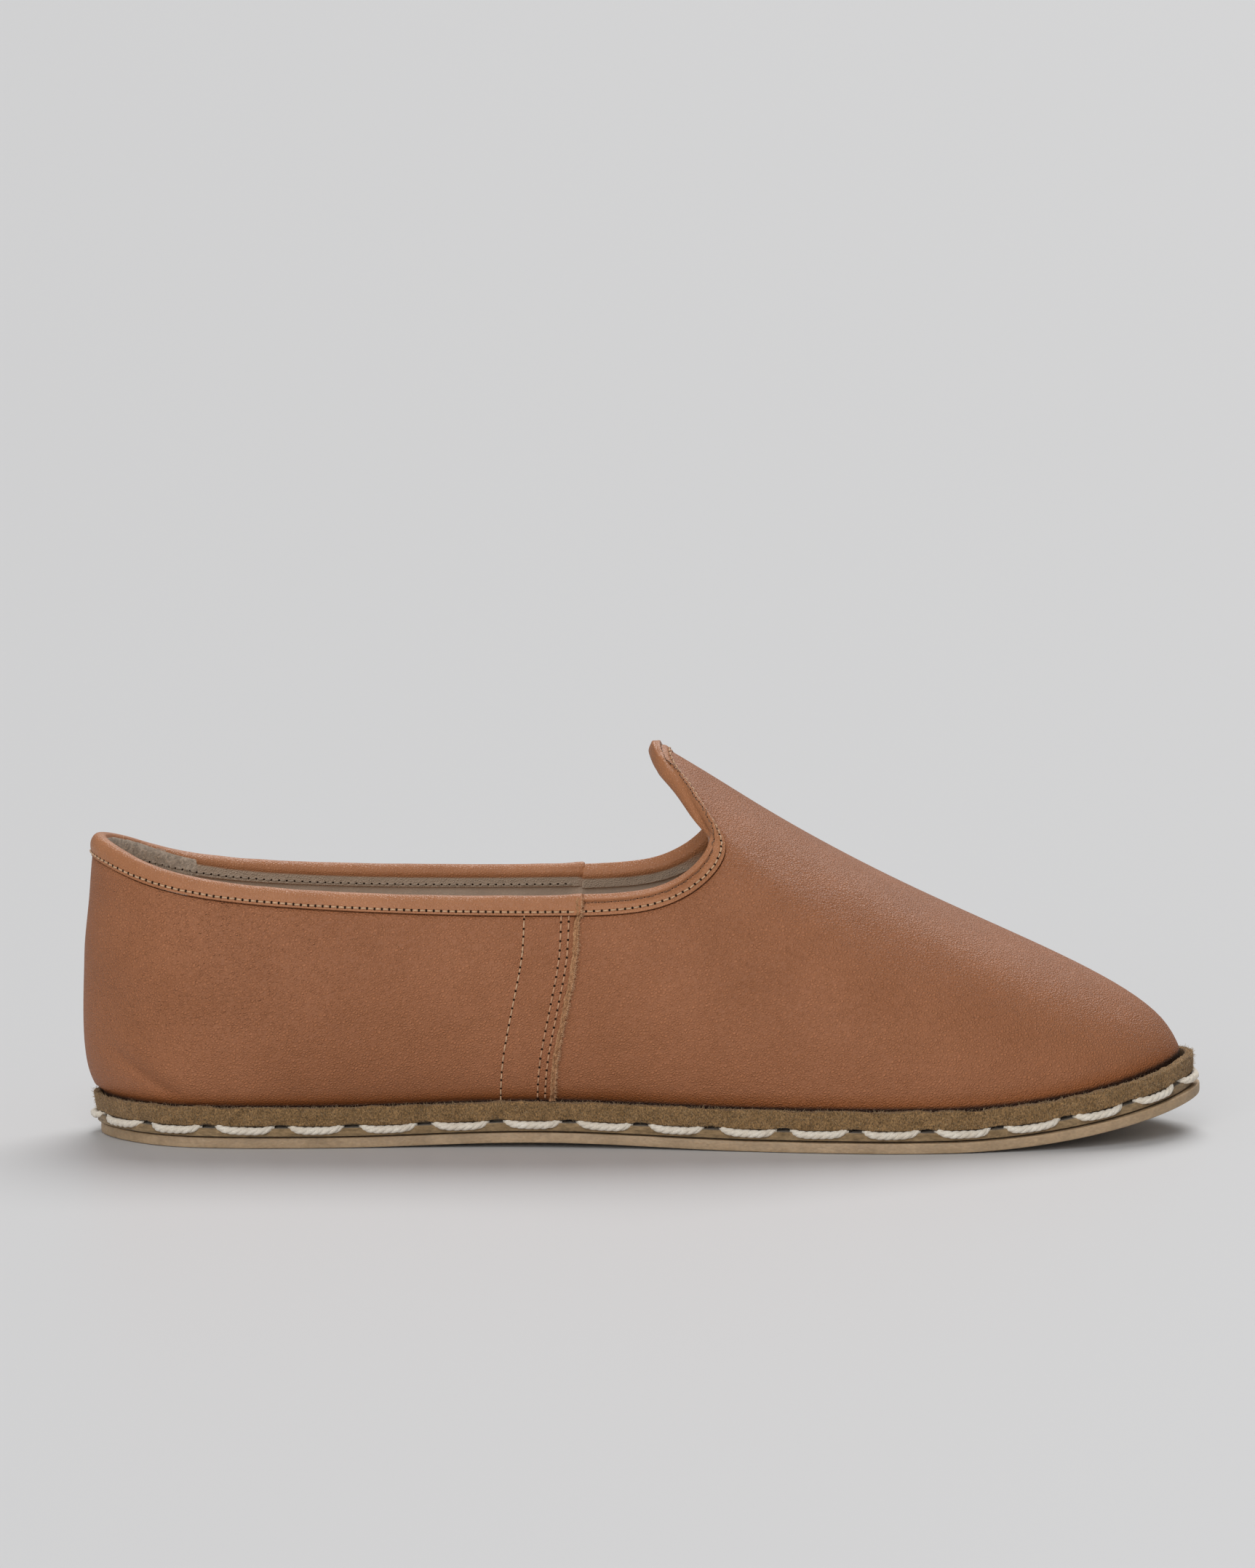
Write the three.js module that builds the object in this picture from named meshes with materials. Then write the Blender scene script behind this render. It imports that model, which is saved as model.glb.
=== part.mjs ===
// A left-foot slip-on with a soft leather upper sewn to a thin flat sole.
// Millimetres, +X to the toe, +Y to the outer side of the foot, +Z up, floor at z = 0.
import * as THREE from 'three';
import { mergeVertices } from 'three/addons/utils/BufferGeometryUtils.js';

// Driving sizes of the last and the sole
const shoeLength = 282.5; // heel bulge to sole tip
const ballWidth = 91; // sole at the ball of the foot
const heelHeight = 76.4; // collar at the back of the heel
const instepHeight = 99; // tip of the throat's tongue
const outsoleThickness = 2.8;
const midsoleThickness = 2.2;
const archRise = 1.2; // sole lifted under the arch
const toeSpring = 9.6; // sole lifted at the toe
// Sizes of the pieces that stand on the sole
const weltHeight = 4.9;
const weltThickness = 2.2;
const upperWall = 2.2; // leather and lining together
const insoleThickness = 2.4;
const seatRise = 0.6; // upright foot of the upper, past the welt's top
const bandDepth = 5.6; // collar band on the outside
const liningDepth = 6; // collar band on the inside
const bandThickness = 1.0;
const bandRecess = 0.9; // upper skived under the band
const pipingBead = 0.7; // roll of the throat's edge past its strip
const quarterLap = 0.9; // quarter laid over the vamp at the side seams
const clearance = 0.3; // glued and sewn faces stay this far apart
const foldEase = 0.1; // slack of a trim where it folds over the top line

// Sampling of the faceted surfaces
const stationsPerRow = 4;
const wallSteps = 11;
const plateSteps = 3;
const seamStep = 0.02; // station shift that makes the lapped edge sharp
const skiveStep = 0.002; // likewise down the wall, under the band

// Sections round the shoe, from the heel's middle over the inner side to the toe and back.
// at, midAt, leanAt, topAt: shares of the length. side, midSide, leanSide, topSide: of the ball width.
// roll: how far the wall swells over the welt, and rollUp how high, shares of the ball width and height.
// rollUp, midUp, leanUp, topUp: shares of the heel height here, of the instep height in the vamp.
const columns = ['at', 'side', 'roll', 'rollUp', 'midAt', 'midSide', 'midUp',
  'leanAt', 'leanSide', 'leanUp', 'topAt', 'topSide', 'topUp'];
const heelHalf = {
  seamLateral: [0.423, 0.420, 0.045, 0.02, 0.432, 0.475, 0.420, 0.438, 0.420, 0.700, 0.441, 0.312, 0.842],
  waistLateral: [0.290, 0.365, 0.055, 0.02, 0.290, 0.455, 0.440, 0.290, 0.395, 0.720, 0.290, 0.300, 0.842],
  sideLateral: [0.120, 0.280, 0.058, 0.02, 0.125, 0.337, 0.450, 0.122, 0.308, 0.740, 0.118, 0.228, 0.880],
  cornerLateral: [0.046, 0.150, 0.060, 0.02, 0.028, 0.115, 0.480, 0.032, 0.128, 0.780, 0.037, 0.105, 0.962],
  heelBack: [0.0125, -0.055, 0.082, 0.02, -0.003, -0.060, 0.490, 0.003, -0.062, 0.800, 0.010, -0.064, 1],
  cornerMedial: [0.046, -0.262, 0.060, 0.02, 0.028, -0.248, 0.480, 0.032, -0.245, 0.780, 0.037, -0.218, 0.962],
  sideMedial: [0.127, -0.378, 0.058, 0.02, 0.126, -0.455, 0.450, 0.122, -0.380, 0.740, 0.118, -0.311, 0.880],
  waistMedial: [0.290, -0.372, 0.055, 0.02, 0.290, -0.490, 0.440, 0.290, -0.450, 0.720, 0.290, -0.372, 0.842],
  seamMedial: [0.423, -0.380, 0.050, 0.02, 0.432, -0.465, 0.420, 0.438, -0.445, 0.700, 0.441, -0.396, 0.842],
};
const vampHalf = {
  instepMedial: [0.560, -0.438, 0.045, 0.03, 0.550, -0.485, 0.360, 0.535, -0.455, 0.560, 0.522, -0.375, 0.677],
  ballMedial: [0.708, -0.506, 0.020, 0.06, 0.690, -0.520, 0.420, 0.615, -0.395, 0.620, 0.560, -0.297, 0.778],
  jointMedial: [0.825, -0.472, 0.018, 0.10, 0.770, -0.475, 0.460, 0.622, -0.305, 0.675, 0.548, -0.209, 0.865],
  cornerMedial: [0.906, -0.397, 0.015, 0.15, 0.800, -0.385, 0.498, 0.630, -0.205, 0.715, 0.530, -0.126, 0.930],
  frontMedial: [0.968, -0.269, 0.010, 0.20, 0.740, -0.220, 0.556, 0.635, -0.100, 0.778, 0.514, -0.044, 0.974],
  toeTip: [1.000, -0.060, 0.005, 0.24, 0.645, -0.010, 0.622, 0.630, 0.010, 0.835, 0.510, 0.033, 1],
  frontLateral: [0.970, 0.155, 0.010, 0.20, 0.740, 0.165, 0.556, 0.635, 0.115, 0.778, 0.516, 0.102, 0.974],
  cornerLateral: [0.910, 0.306, 0.015, 0.15, 0.800, 0.315, 0.498, 0.630, 0.215, 0.715, 0.533, 0.171, 0.930],
  jointLateral: [0.825, 0.417, 0.018, 0.10, 0.770, 0.430, 0.460, 0.622, 0.310, 0.675, 0.551, 0.223, 0.862],
  ballLateral: [0.695, 0.503, 0.020, 0.06, 0.680, 0.530, 0.420, 0.615, 0.390, 0.620, 0.562, 0.268, 0.778],
  instepLateral: [0.560, 0.475, 0.035, 0.03, 0.550, 0.520, 0.360, 0.535, 0.430, 0.560, 0.522, 0.310, 0.677],
};
const archSpan = [0.22, 0.60]; // shares of the length
const springStart = 0.76;
const plateFlare = [0.9, -2.6]; // midsole past the outsole at the heel, and its change to the toe
const weltFlare = [1.1, -1.1]; // the welt's top past its foot, likewise

// Rows of the sections in millimetres
function sectionRows(half, height) {
  return Object.values(half).map((numbers) => {
    const row = {};
    columns.forEach((name, i) => {
      const unit = name.toLowerCase().endsWith('at') ? shoeLength : name.endsWith('Up') ? height : ballWidth;
      row[name] = numbers[i] * unit;
    });
    return row;
  });
}
const heelRows = sectionRows(heelHalf, heelHeight);
const heelBackIndex = Object.keys(heelHalf).indexOf('heelBack');
const rows = [
  ...heelRows.slice(heelBackIndex),
  ...sectionRows(vampHalf, instepHeight),
  ...heelRows.slice(0, heelBackIndex),
];
const rowCount = rows.length;
const medialSeam = heelRows.length - heelBackIndex - 1; // station of each side seam
const lateralSeam = rowCount - heelBackIndex;
const toeStation = rowCount / 2;

// A smooth closed curve through one value a row
function closedSpline(values) {
  const n = values.length;
  let slopes = values.map(() => 0);
  for (let pass = 0; pass < 50; pass += 1) {
    slopes = slopes.map((_, i) => {
      const next = (i + 1) % n;
      const last = (i + n - 1) % n;
      return (3 * (values[next] - values[last]) - slopes[next] - slopes[last]) / 4;
    });
  }
  return (s) => {
    const whole = Math.floor(s);
    const f = s - whole;
    const i = ((whole % n) + n) % n;
    const k = (i + 1) % n;
    const rise = values[k] - values[i];
    const bend = 3 * rise - 2 * slopes[i] - slopes[k];
    return values[i] + f * (slopes[i] + f * (bend + f * (slopes[i] + slopes[k] - 2 * rise)));
  };
}
const section = {};
columns.forEach((name) => {
  section[name] = closedSpline(rows.map((row) => row[name]));
});

// The sole's outline, moved outward by an offset, and the lift of the sole along the shoe
function planNormal(s) {
  const h = 0.01;
  const dx = section.at(s + h) - section.at(s - h);
  const dy = section.side(s + h) - section.side(s - h);
  return new THREE.Vector2(dy, -dx).normalize();
}
function edge(s, offset) {
  return new THREE.Vector2(section.at(s), section.side(s)).addScaledVector(planNormal(s), offset);
}
function soleRise(x) {
  const share = x / shoeLength;
  const arch = THREE.MathUtils.clamp((share - archSpan[0]) / (archSpan[1] - archSpan[0]), 0, 1);
  const spring = Math.max(0, (share - springStart) / (1 - springStart));
  return archRise * Math.sin(Math.PI * arch) ** 2 + toeSpring * spring ** 2;
}
const alongShare = (s) => section.at(s) / shoeLength;
const midsoleOffset = (s) => plateFlare[0] + plateFlare[1] * alongShare(s) ** 2;
const weltTopOffset = (s) => midsoleOffset(s) + weltFlare[0] + weltFlare[1] * alongShare(s);
const midsoleTop = outsoleThickness + clearance + midsoleThickness;
const weltFoot = midsoleTop + clearance;
const weltTop = weltFoot + weltHeight;
const seatTop = weltTop + seatRise;

// Closed surfaces from quads, whichever way round they were drawn
function closedMesh(name, triangles, look) {
  const kept = triangles.filter(([a, b, c]) => (
    a.distanceTo(b) > 1e-4 && b.distanceTo(c) > 1e-4 && c.distanceTo(a) > 1e-4));
  const volume = kept.reduce((sum, [a, b, c]) => sum + a.dot(new THREE.Vector3().crossVectors(b, c)), 0);
  const faces = volume < 0 ? kept.map(([a, b, c]) => [a, c, b]) : kept;
  const soup = new THREE.BufferGeometry();
  const numbers = faces.flatMap((face) => face.flatMap((p) => [p.x, p.y, p.z]));
  soup.setAttribute('position', new THREE.Float32BufferAttribute(numbers, 3));
  const geometry = mergeVertices(soup, 1e-3);
  geometry.computeVertexNormals();
  const material = new THREE.MeshStandardMaterial({ ...look, metalness: 0 });
  const mesh = new THREE.Mesh(geometry, material);
  mesh.name = name;
  return mesh;
}
function strip(lineA, lineB) {
  const faces = [];
  for (let i = 0; i + 1 < lineA.length; i += 1) {
    faces.push([lineA[i], lineA[i + 1], lineB[i + 1]], [lineA[i], lineB[i + 1], lineB[i]]);
  }
  return faces;
}
function loft(rings, closed) {
  const faces = [];
  const count = closed ? rings.length : rings.length - 1;
  for (let i = 0; i < count; i += 1) {
    const a = rings[i];
    const b = rings[(i + 1) % rings.length];
    faces.push(...strip([...a, a[0]], [...b, b[0]]));
  }
  return faces;
}

// Stations round the shoe, with a close pair at each lapped seam
const plainStations = Array.from({ length: rowCount * stationsPerRow }, (_, i) => i / stationsPerRow);
const seamStations = [medialSeam + seamStep, lateralSeam - seamStep];
const stations = [...plainStations, ...seamStations].sort((a, b) => a - b);
const inQuarter = (s) => s <= medialSeam || s >= lateralSeam;

// Flat pieces of the sole: an outline offset, and the height of both faces above the sole's lift
function plate(name, offset, low, high, look) {
  const half = plainStations.filter((s) => s <= toeStation);
  const rings = half.map((s) => {
    const inner = edge(s, offset(s));
    const outer = edge(rowCount - s, offset(rowCount - s));
    const shares = Array.from({ length: plateSteps + 1 }, (_, k) => k / plateSteps);
    const across = shares.map((share) => inner.clone().lerp(outer, share));
    const lower = across.map((p) => new THREE.Vector3(p.x, p.y, soleRise(p.x) + low));
    const upper = across.map((p) => new THREE.Vector3(p.x, p.y, soleRise(p.x) + high));
    return [...lower, ...upper.reverse()];
  });
  return closedMesh(name, loft(rings, false), look);
}

// The upper's outer face: an upright seat behind the welt, then one swelling curve up to the top line
function seatPoint(s, height) {
  const up = Math.min(1, (height - weltFoot) / weltHeight);
  const outside = THREE.MathUtils.lerp(midsoleOffset(s), weltTopOffset(s), up);
  const p = edge(s, outside - weltThickness - clearance);
  return new THREE.Vector3(p.x, p.y, soleRise(section.at(s)) + height);
}
function wallPoint(s, t) {
  const seat = seatPoint(s, seatTop);
  const out = planNormal(s).multiplyScalar(section.roll(s));
  const roll = seat.clone().add(new THREE.Vector3(out.x, out.y, section.rollUp(s)));
  const mid = new THREE.Vector3(section.midAt(s), section.midSide(s), section.midUp(s));
  const lean = new THREE.Vector3(section.leanAt(s), section.leanSide(s), section.leanUp(s));
  const top = new THREE.Vector3(section.topAt(s), section.topSide(s), section.topUp(s));
  const u = 1 - t;
  return seat.multiplyScalar(u ** 4)
    .addScaledVector(roll, 4 * t * u ** 3)
    .addScaledVector(mid, 6 * t * t * u * u)
    .addScaledVector(lean, 4 * t ** 3 * u)
    .addScaledVector(top, t ** 4);
}
function wallNormal(s, t) {
  const h = 0.004;
  const around = wallPoint(s + h, t).sub(wallPoint(s - h, t));
  const high = Math.min(1, t + h);
  const low = Math.max(0, t - h);
  const upward = wallPoint(s, high).sub(wallPoint(s, low));
  return around.cross(upward).normalize();
}
// The curve's parameter at a distance down from the top line
function fromTop(s, distance) {
  const steps = 80;
  let before = wallPoint(s, 1);
  let run = 0;
  for (let i = steps - 1; i >= 0; i -= 1) {
    const here = wallPoint(s, i / steps);
    const step = here.distanceTo(before);
    if (run + step >= distance) return (i + (run + step - distance) / step) / steps;
    run += step;
    before = here;
  }
  return 0;
}
const offsetWall = (s, t, out) => wallPoint(s, t).addScaledVector(wallNormal(s, t), out);

// Upper: one open-topped, open-bottomed wall
function upperRing(s) {
  const lap = inQuarter(s) ? 0 : -quarterLap;
  const rimT = fromTop(s, clearance + bandThickness);
  const bandT = fromTop(s, bandDepth + clearance);
  const seatHeights = [weltFoot, weltTop, seatTop];
  const outward = planNormal(s);
  const side = new THREE.Vector3(outward.x, outward.y, 0);
  const outer = seatHeights.map((h) => seatPoint(s, h).addScaledVector(side, lap));
  for (let i = 1; i <= wallSteps; i += 1) {
    outer.push(offsetWall(s, (bandT * i) / wallSteps, lap));
  }
  outer.push(offsetWall(s, bandT + skiveStep, lap - bandRecess));
  outer.push(offsetWall(s, rimT, lap - bandRecess));
  const crown = offsetWall(s, fromTop(s, bandThickness), lap - (bandRecess + upperWall) / 2);
  const inner = [offsetWall(s, rimT, lap - upperWall), offsetWall(s, bandT, lap - upperWall)];
  for (let i = wallSteps - 1; i >= 1; i -= 1) {
    inner.push(offsetWall(s, (bandT * i) / wallSteps, lap - upperWall));
  }
  const insideSeats = [seatHeights[1], seatHeights[0]];
  inner.push(...insideSeats.map((h) => seatPoint(s, h).addScaledVector(side, lap - upperWall)));
  return [...outer, crown, ...inner];
}

// Edge trims: a strip folded over the top line, from seam to seam
function trimRing(s, depthOut, depthIn, bead) {
  const lap = inQuarter(s) ? 0 : -quarterLap;
  const near = lap - bandRecess + clearance;
  const far = near + bandThickness;
  const insideNear = lap - upperWall - clearance;
  const insideFar = insideNear - bandThickness;
  const top = wallPoint(s, 1);
  const at = (distance, out) => offsetWall(s, fromTop(s, distance), out);
  const middle = (near + insideNear) / 2;
  const beadDepth = clearance + bandThickness + 2 * bead;
  const skin = [
    at(depthOut, far), at(Math.max(beadDepth, depthOut / 2), far), at(bandThickness + bead, far + bead),
    top.clone().addScaledVector(wallNormal(s, 1), (far + middle) / 2 + bead),
    top.clone().addScaledVector(wallNormal(s, 1), (insideFar + middle) / 2),
    at(bandThickness, insideFar), at(depthIn / 2, insideFar), at(depthIn, insideFar),
  ];
  const core = [
    at(depthOut, near), at(Math.max(beadDepth, depthOut / 2), near), at(bandThickness + foldEase, near),
    at(bandThickness - foldEase / 2, (near + middle) / 2),
    at(bandThickness - foldEase / 2, (insideNear + middle) / 2),
    at(bandThickness + foldEase, insideNear), at(depthIn / 2, insideNear), at(depthIn, insideNear),
  ];
  return { skin, core };
}
function trim(name, from, to, depthOut, depthIn, bead, look) {
  const inner = [...stations.map((s) => s - rowCount), ...stations].filter((s) => s > from && s < to);
  const sections = [from, ...inner, to].map((s) => trimRing(s, depthOut, depthIn, bead));
  const rings = sections.map(({ skin, core }) => [...skin, ...core.slice().reverse()]);
  const first = sections[0];
  const last = sections[sections.length - 1];
  const faces = loft(rings, false);
  faces.push(...strip(first.core, first.skin), ...strip(last.skin, last.core));
  return closedMesh(name, faces, look);
}

// Welt: a narrow strip standing on the midsole round the foot of the upper
function weltRing(s) {
  const lift = soleRise(section.at(s));
  const point = (offset, height) => {
    const p = edge(s, offset);
    return new THREE.Vector3(p.x, p.y, lift + height);
  };
  return [
    point(midsoleOffset(s), weltFoot), point(weltTopOffset(s), weltTop),
    point(weltTopOffset(s) - weltThickness, weltTop), point(midsoleOffset(s) - weltThickness, weltFoot),
  ];
}

const looks = {
  rubber: { color: '#b2966f', roughness: 0.6 },
  soleLeather: { color: '#8a6a44', roughness: 0.8 },
  suede: { color: '#78623e', roughness: 0.95 },
  insoleLeather: { color: '#877046', roughness: 0.8 },
  upperLeather: { color: '#9b6446', roughness: 0.45 },
  trimLeather: { color: '#a96b3d', roughness: 0.5 },
};
const group = new THREE.Group();
const insoleOffset = (s) => midsoleOffset(s) - weltThickness - upperWall - quarterLap - 2 * clearance;
group.add(
  plate('outsole', () => 0, 0, outsoleThickness, looks.rubber),
  plate('midsole', midsoleOffset, outsoleThickness + clearance, midsoleTop, looks.soleLeather),
  closedMesh('welt', loft(plainStations.map(weltRing), true), looks.suede),
  plate('insole', insoleOffset, weltFoot, weltFoot + insoleThickness, looks.insoleLeather),
  closedMesh('upper', loft(stations.map(upperRing), true), looks.upperLeather),
  trim('collar_band', lateralSeam - rowCount, medialSeam, bandDepth, liningDepth, 0, looks.trimLeather),
  trim('throat_binding', medialSeam + 2 * seamStep, lateralSeam - 2 * seamStep,
    bandDepth, liningDepth, pipingBead, looks.trimLeather),
);
// The origin is on the floor under the middle of the shoe
const extent = new THREE.Box3().setFromObject(group);
const middle = extent.getCenter(new THREE.Vector3());
group.position.set(-middle.x, -middle.y, -extent.min.z);
export default group;
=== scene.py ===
# A left-foot leather slip-on, hand sewn to a thin flat sole: its skins, seams, threads and fibres.
import math
import random

import bmesh
import bpy
from mathutils import Matrix, Vector
from mathutils import noise as mathNoise
from mathutils.bvhtree import BVHTree
from mathutils.kdtree import KDTree


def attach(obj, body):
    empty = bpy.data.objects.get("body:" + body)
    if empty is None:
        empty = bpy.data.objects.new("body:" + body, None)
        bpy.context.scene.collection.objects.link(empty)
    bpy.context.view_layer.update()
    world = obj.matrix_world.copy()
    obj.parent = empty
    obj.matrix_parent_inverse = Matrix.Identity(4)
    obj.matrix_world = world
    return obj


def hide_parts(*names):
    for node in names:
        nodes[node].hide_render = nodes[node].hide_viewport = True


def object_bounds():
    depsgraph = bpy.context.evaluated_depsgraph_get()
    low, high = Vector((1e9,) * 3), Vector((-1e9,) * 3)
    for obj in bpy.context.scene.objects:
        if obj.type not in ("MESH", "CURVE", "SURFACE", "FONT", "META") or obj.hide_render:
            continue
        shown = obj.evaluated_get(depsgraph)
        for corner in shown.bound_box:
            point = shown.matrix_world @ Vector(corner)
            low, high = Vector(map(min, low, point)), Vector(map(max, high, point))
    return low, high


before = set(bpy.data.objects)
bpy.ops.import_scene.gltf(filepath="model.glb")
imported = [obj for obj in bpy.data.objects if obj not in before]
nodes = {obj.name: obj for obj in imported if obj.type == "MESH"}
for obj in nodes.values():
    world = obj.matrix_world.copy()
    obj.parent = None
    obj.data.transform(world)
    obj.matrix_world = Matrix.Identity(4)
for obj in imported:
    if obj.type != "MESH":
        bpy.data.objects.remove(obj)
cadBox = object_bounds()
mm = 0.001
heelX = cadBox[0].x  # the heel bulge, from which lengths along the shoe are counted
random.seed(7)
print("frame loaded")


def addNode(tree, kind, sockets=None, **settings):
    made = tree.nodes.new(kind)
    for key, value in settings.items():
        setattr(made, key, value)
    for key, value in (sockets or {}).items():
        if isinstance(value, bpy.types.NodeSocket):
            tree.links.new(value, made.inputs[key])
        else:
            made.inputs[key].default_value = value
    return made


def grainHeight(tree, place, layer):
    # One layer of surface relief, 0 to 1: closed cells as in tanned skin, or a soft or fibrous noise
    stretch = layer.get("stretch", (1, 1, 1))
    size = layer["size"]
    turned = addNode(tree, "ShaderNodeMapping", {
        "Vector": place,
        "Rotation": tuple(math.radians(a) for a in layer.get("turn", (0, 0, 0))),
    })
    scaled = addNode(tree, "ShaderNodeMapping", {
        "Vector": turned.outputs[0],
        "Scale": tuple(1 / (mm * size * s) for s in stretch),
    })
    if layer["kind"] != "cells":
        soft = addNode(tree, "ShaderNodeTexNoise", {
            "Vector": scaled.outputs[0], "Scale": 1.0, "Detail": layer.get("detail", 2.0),
            "Roughness": layer.get("rough", 0.5), "Distortion": layer.get("bend", 0.0),
        })
        return soft.outputs["Fac"]
    drift = addNode(tree, "ShaderNodeTexNoise", {"Vector": scaled.outputs[0], "Scale": 0.9, "Detail": 2.0})
    drawn = layer.get("drift", 0.4)
    bent = addNode(tree, "ShaderNodeVectorMath", {
        0: drift.outputs["Color"], 1: (drawn, drawn, drawn), 2: scaled.outputs[0],
    }, operation="MULTIPLY_ADD")
    cells = addNode(tree, "ShaderNodeTexVoronoi", {"Vector": bent.outputs[0], "Scale": 1.0},
                    feature="DISTANCE_TO_EDGE")
    plump = addNode(tree, "ShaderNodeMapRange", {
        "Value": cells.outputs["Distance"], "From Min": 0.0, "From Max": layer.get("crease", 0.28),
    }, interpolation_type="SMOOTHSTEP")
    return plump.outputs[0]


def finishMaterial(name, look):
    # Colours and roughness drift over the surface, and grain layers stack as bump
    made = bpy.data.materials.new(name)
    made.use_nodes = True
    tree = made.node_tree
    shader = tree.nodes["Principled BSDF"]
    place = addNode(tree, "ShaderNodeTexCoord").outputs["Object"]
    cloud = grainHeight(tree, place, {"kind": "soft", "size": look["cloudSize"], "detail": 4.0, "rough": 0.6,
                                      "stretch": look.get("cloudStretch", (1, 1, 1))})
    ramp = addNode(tree, "ShaderNodeValToRGB", {"Fac": cloud})
    ends = ramp.color_ramp.elements
    for end, position, tone in zip(ends, look.get("cloudEnds", (0.3, 0.7)), (look["dark"], look["light"])):
        end.position = position
        end.color = (*tone, 1)
    colour = ramp.outputs["Color"]
    normal = None
    for layer in look["grain"]:
        height = grainHeight(tree, place, layer)
        if "region" in layer:
            region = addNode(tree, "ShaderNodeAttribute", attribute_name=layer["region"])
            height = addNode(tree, "ShaderNodeMath", {0: height, 1: region.outputs["Fac"]},
                             operation="MULTIPLY").outputs[0]
        if layer.get("stain"):
            low, high = (0.0, 1.0) if layer["kind"] == "cells" else (0.3, 0.7)
            spread = addNode(tree, "ShaderNodeMapRange", {
                "Value": height, "From Min": low, "From Max": high,
                "To Min": 1 - layer["stain"], "To Max": 1 + 0.4 * layer["stain"]})
            colour = addNode(tree, "ShaderNodeVectorMath", {0: colour, 3: spread.outputs[0]},
                             operation="SCALE").outputs[0]
        bump = addNode(tree, "ShaderNodeBump", {
            "Height": height, "Distance": mm * layer["depth"], "Strength": 1.0})
        if normal:
            tree.links.new(normal, bump.inputs["Normal"])
        normal = bump.outputs["Normal"]
    for overlay in look.get("tintsAndPaintedLight", ()):  # a second colour where a painted region of the piece says so: the lining's own colour, or painted shadow and painted bounced light
        region = addNode(tree, "ShaderNodeAttribute", attribute_name=overlay["region"])
        share = addNode(tree, "ShaderNodeMath", {0: region.outputs["Fac"], 1: overlay["share"]},
                        operation="MULTIPLY")
        mixed = addNode(tree, "ShaderNodeMix", data_type="RGBA")
        tree.links.new(share.outputs[0], mixed.inputs[0])
        tree.links.new(colour, mixed.inputs[6])
        mixed.inputs[7].default_value = (*overlay["colour"], 1)
        colour = mixed.outputs[2]
    tree.links.new(colour, shader.inputs["Base Color"])
    if normal:
        tree.links.new(normal, shader.inputs["Normal"])
    low, high = look["roughness"]
    if low != high:
        shine = addNode(tree, "ShaderNodeMapRange", {"Value": cloud, "To Min": low, "To Max": high})
        tree.links.new(shine.outputs[0], shader.inputs["Roughness"])
    else:
        shader.inputs["Roughness"].default_value = low
    for socket, value in look.get("shader", {}).items():
        shader.inputs[socket].default_value = value
    return made


def clamp(share):
    return min(1, max(0, share))


def sameWay(seed):
    # Of a grid whose squares are all halved the same way, every edge that runs as the seed does
    found, waiting = {seed}, [seed]
    while waiting:
        edge = waiting.pop()
        for face in edge.link_faces:
            tip = next(v for v in face.verts if v not in edge.verts)
            if len(tip.link_edges) != 6:  # not a regular corner of the grid
                continue
            for side in (e for e in face.edges if tip in e.verts):
                beyond = next(f for f in side.link_faces if f is not face)
                ahead = next(e for e in beyond.edges if e is not side and tip in e.verts)
                if ahead not in found:
                    found.add(ahead)
                    waiting.append(ahead)
    return found


# The side seams lean back from their top, at x and z in the frame, and sway a little on their way down, in mm
sideSeam = {
    "topX": -16.4, "topZ": 62.8, "leanBack": 4.8, "tall": 56, "reach": 30,
    "sway": ((11, -1.6), (23, -1.9), (35, -0.8), (48, 0.6), (58, 0.0)),  # height and shift along the shoe
}


def seamShift(point):
    height = point.z / mm
    seamX = sideSeam["topX"] - sideSeam["leanBack"] * (sideSeam["topZ"] - height) / sideSeam["tall"]
    near = max(0, 1 - abs(point.x / mm - seamX) / sideSeam["reach"])
    sway = sideSeam["sway"]
    shift = sway[0][1] if height < sway[0][0] else sway[-1][1]
    for (lowZ, lowShift), (highZ, highShift) in zip(sway, sway[1:]):
        if lowZ <= height < highZ:
            share = (height - lowZ) / (highZ - lowZ)
            shift = lowShift + (highShift - lowShift) * share * share * (3 - 2 * share)
    return shift * near * near * (3 - 2 * near) * mm


def quadCopy(name):
    bm = bmesh.new()
    bm.from_mesh(nodes[name].data)
    bmesh.ops.remove_doubles(bm, verts=bm.verts, dist=0.001 * mm)
    if name == "upper":
        for v in bm.verts:
            v.co.x += seamShift(v.co)
    bm.faces.ensure_lookup_table()
    start = next(f for f in bm.faces if all(len(v.link_edges) == 6 for v in f.verts))
    ways = [sameWay(e) for e in start.edges]
    halving = max(ways, key=lambda found: sum(e.calc_length() ** 2 for e in found))
    if name in ("upper", "collar_band", "throat_binding", "welt"):
        bmesh.ops.dissolve_edges(bm, edges=list(halving), use_verts=False)
    bmesh.ops.join_triangles(bm, faces=bm.faces, angle_face_threshold=math.pi,
                             angle_shape_threshold=math.pi, topology_influence=2.0)
    print("quads", name, len(bm.faces), "triangles left", len([f for f in bm.faces if len(f.verts) == 3]))
    return bm


def meshPiece(name, bm, materials, replaced=None):
    data = bpy.data.meshes.new(name)
    bm.to_mesh(data)
    bm.free()
    return placePiece(name, data, materials, replaced)


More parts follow.
